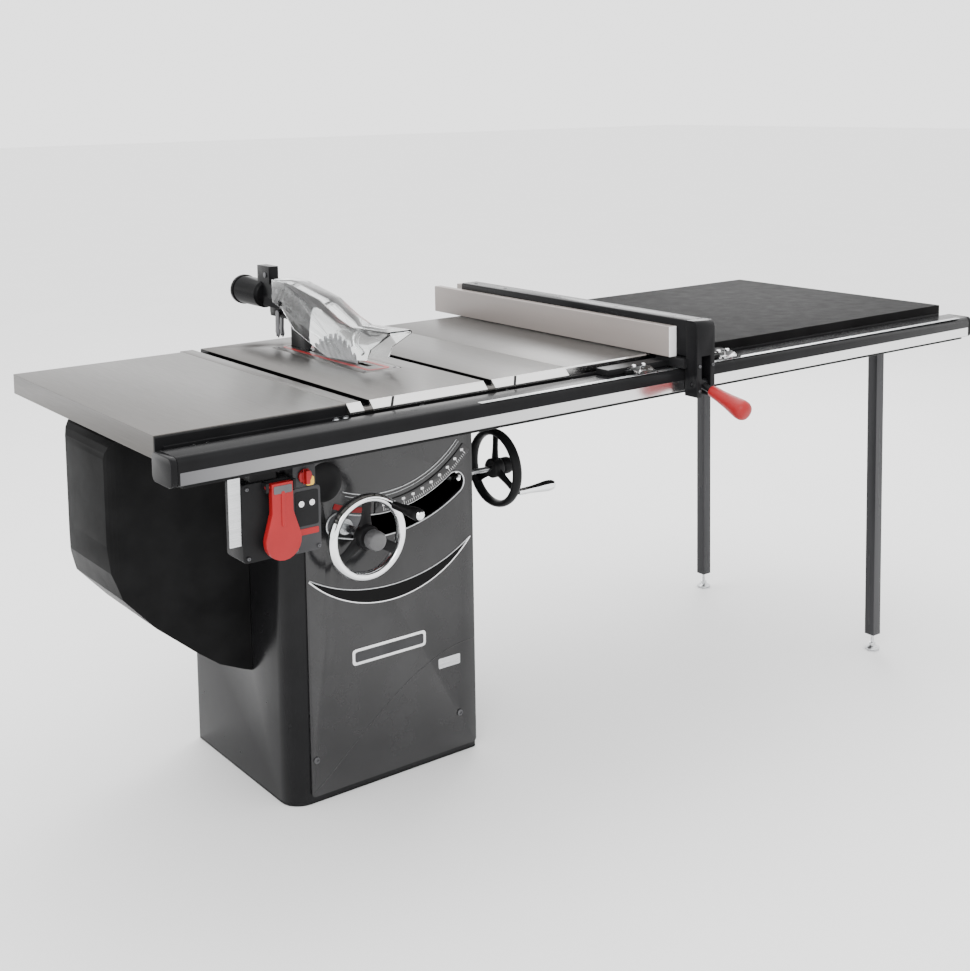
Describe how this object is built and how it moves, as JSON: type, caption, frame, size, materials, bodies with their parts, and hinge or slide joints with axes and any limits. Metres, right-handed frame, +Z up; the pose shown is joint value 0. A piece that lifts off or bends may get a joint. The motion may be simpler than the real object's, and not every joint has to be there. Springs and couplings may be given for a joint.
{
  "type": "cabinet table saw",
  "caption": "Cabinet table saw with cast-iron top, clear blade guard, two handwheels, sliding rip fence on a long rail and a legged right-hand extension table.",
  "frame": {"origin": "on the floor, under the middle of the cabinet, on the underside of its floor plate", "axes": "+X to the right along the fence rail, +Y from the operator to the back of the saw, +Z up"},
  "size_m": [2.143, 1.0627, 1.035],
  "materials": {
    "black_paint": "plain",
    "panel_black": "plain",
    "cast_iron": "ground and polished",
    "laminate": "fine texture",
    "steel": "plain",
    "dark_steel": "plain",
    "chrome": "polished",
    "black_plastic": "plain",
    "grey_plastic": "plain",
    "red_plastic": "plain",
    "clear_plastic": "clear",
    "fence_laminate": "plain",
    "rubber": "plain"
  },
  "bodies": {
    "base": {"cabinet_shell": "black_paint", "base_pan": "black_paint", "front_panel": "panel_black", "tilt_scale": "dark_steel", "dust_port": "black_plastic", "main_table": "cast_iron", "throat_insert": "red_plastic", "left_wing": "cast_iron", "right_wing": "cast_iron", "extension_table": "laminate", "front_rail_tube": "black_paint", "rail_cap_left": "black_plastic", "rail_cap_right": "black_plastic", "front_rail_angle": "black_paint", "rear_rail_angle": "black_paint", "leg_front": "dark_steel", "leg_rear": "dark_steel", "trunnion_bracket_front": "dark_steel", "trunnion_bracket_rear": "dark_steel", "switch_plate": "steel", "switch_box": "black_plastic", "switch_module": "grey_plastic"},
    "foot_front": {"leg_foot_front": "steel"},
    "foot_rear": {"leg_foot_rear": "steel"},
    "trunnion": {"trunnion_cradle": "dark_steel", "tilt_sector": "dark_steel"},
    "carriage": {"arbor_carriage": "dark_steel", "motor": "black_paint", "drive_belt": "rubber", "brake_cartridge": "dark_steel", "riving_spreader": "steel", "guard_bracket": "black_plastic"},
    "arbor": {"arbor_shaft": "steel", "saw_blade": "steel", "arbor_nut": "dark_steel"},
    "motor_rotor": {"motor_pulley": "steel"},
    "elevation_wheel": {"elevation_shaft": "steel", "elevation_wheel_hub": "black_plastic", "elevation_wheel_rim": "chrome"},
    "elevation_grip": {"elevation_handle": "black_plastic"},
    "elevation_lock": {"elevation_lock_knob": "black_plastic"},
    "tilt_wheel_body": {"tilt_shaft": "steel", "tilt_wheel": "black_paint"},
    "tilt_grip": {"tilt_handle": "chrome"},
    "tilt_lock": {"tilt_lock_knob": "black_plastic"},
    "pawls": {"kickback_pawls": "dark_steel"},
    "canopy": {"guard_canopy": "clear_plastic"},
    "side_shield": {"guard_side_left": "clear_plastic"},
    "cover": {"motor_cover": "black_paint"},
    "cover_latch": {"motor_cover_latch": "black_plastic"},
    "paddle": {"switch_paddle": "red_plastic"},
    "power_knob": {"power_switch_knob": "red_plastic"},
    "fence": {"fence_tube": "black_paint", "fence_face_left": "fence_laminate", "fence_face_right": "fence_laminate", "fence_head": "black_paint", "fence_cursor_left": "clear_plastic", "fence_cursor_right": "clear_plastic"},
    "lever": {"fence_lever": "black_paint", "fence_grip": "red_plastic"}
  },
  "joints": [
    {"name": "blade_tilt", "type": "hinge", "parent": "base", "child": "trunnion", "pos_m": [0, 0, 0.864], "axis": [0, -1, 0], "range_deg": [0, 45]},
    {"name": "blade_elevation", "type": "slide", "parent": "trunnion", "child": "carriage", "axis": [0, 0, 1], "range_m": [-0.05, 0.02]},
    {"name": "arbor_spin", "type": "hinge", "parent": "carriage", "child": "arbor", "pos_m": [0, -0.04, 0.787], "axis": [1, 0, 0], "continuous": true},
    {"name": "motor_spin", "type": "hinge", "parent": "carriage", "child": "motor_rotor", "pos_m": [-0.13, 0.06, 0.61], "axis": [1, 0, 0], "continuous": true},
    {"name": "elevation_wheel_turn", "type": "hinge", "parent": "trunnion", "child": "elevation_wheel", "pos_m": [-0.08386, -0.29, 0.55104], "axis": [0, -1, 0], "range_deg": [-750, 320]},
    {"name": "elevation_handle_spin", "type": "hinge", "parent": "elevation_wheel", "child": "elevation_grip", "pos_m": [-0.02998, -0.345, 0.60882], "axis": [0, -1, 0], "continuous": true},
    {"name": "elevation_lock_turn", "type": "hinge", "parent": "elevation_wheel", "child": "elevation_lock", "pos_m": [-0.08386, -0.315, 0.55104], "axis": [0, -1, 0], "range_deg": [0, 180]},
    {"name": "tilt_wheel_turn", "type": "hinge", "parent": "base", "child": "tilt_wheel_body", "pos_m": [0.33, -0.162, 0.594], "axis": [1, 0, 0], "range_deg": [0, 1450]},
    {"name": "tilt_handle_spin", "type": "hinge", "parent": "tilt_wheel_body", "child": "tilt_grip", "pos_m": [0.39, -0.22749, 0.54982], "axis": [1, 0, 0], "continuous": true},
    {"name": "tilt_lock_turn", "type": "hinge", "parent": "tilt_wheel_body", "child": "tilt_lock", "pos_m": [0.36, -0.162, 0.594], "axis": [1, 0, 0], "range_deg": [0, 180]},
    {"name": "pawl_swing", "type": "hinge", "parent": "carriage", "child": "pawls", "pos_m": [0, 0.2, 0.93], "axis": [1, 0, 0], "range_deg": [-38, 93]},
    {"name": "guard_lift", "type": "hinge", "parent": "carriage", "child": "canopy", "pos_m": [0, 0.15, 0.96], "axis": [-1, 0, 0], "range_deg": [-6, 14.5]},
    {"name": "side_shield_lift", "type": "hinge", "parent": "canopy", "child": "side_shield", "pos_m": [-0.02, 0.15, 0.96], "axis": [-1, 0, 0], "range_deg": [0, 24.5]},
    {"name": "motor_cover_open", "type": "hinge", "parent": "base", "child": "cover", "pos_m": [-0.232, 0.065, 0.243], "axis": [0, -1, 0], "range_deg": [0, 65]},
    {"name": "cover_latch_turn", "type": "hinge", "parent": "cover", "child": "cover_latch", "pos_m": [-0.262, 0.197, 0.74], "axis": [0, 1, 0], "range_deg": [0, 90]},
    {"name": "stop_paddle", "type": "hinge", "parent": "base", "child": "paddle", "pos_m": [-0.395, -0.512, 0.76], "axis": [1, 0, 0], "range_deg": [-20, 3]},
    {"name": "power_switch", "type": "hinge", "parent": "base", "child": "power_knob", "pos_m": [-0.34, -0.504, 0.764], "axis": [0, -1, 0], "range_deg": [0, 90]},
    {"name": "fence_slide", "type": "slide", "parent": "base", "child": "fence", "axis": [1, 0, 0], "range_m": [-0.46, 0.76]},
    {"name": "fence_lock_lever", "type": "hinge", "parent": "fence", "child": "lever", "pos_m": [0.565, -0.558, 0.812], "axis": [-1, 0, 0], "range_deg": [0, 60]},
    {"name": "foot_front_adjust", "type": "slide", "parent": "base", "child": "foot_front", "axis": [0, 0, 1], "range_m": [0, 0.02]},
    {"name": "foot_rear_adjust", "type": "slide", "parent": "base", "child": "foot_rear", "axis": [0, 0, 1], "range_m": [0, 0.02]}
  ],
  "couplings": [
    {"joint": "motor_spin", "follows": "arbor_spin", "ratio": 0.78947},
    {"joint": "elevation_wheel_turn", "follows": "blade_elevation", "rad_per_m": 250},
    {"joint": "tilt_wheel_turn", "follows": "blade_tilt", "ratio": 32},
    {"joint": "pawl_swing", "follows": "blade_elevation", "rad_per_m": -32.3},
    {"joint": "guard_lift", "follows": "blade_elevation", "rad_per_m": -4.887},
    {"joint": "side_shield_lift", "follows": "blade_tilt", "ratio": 0.5333}
  ]
}
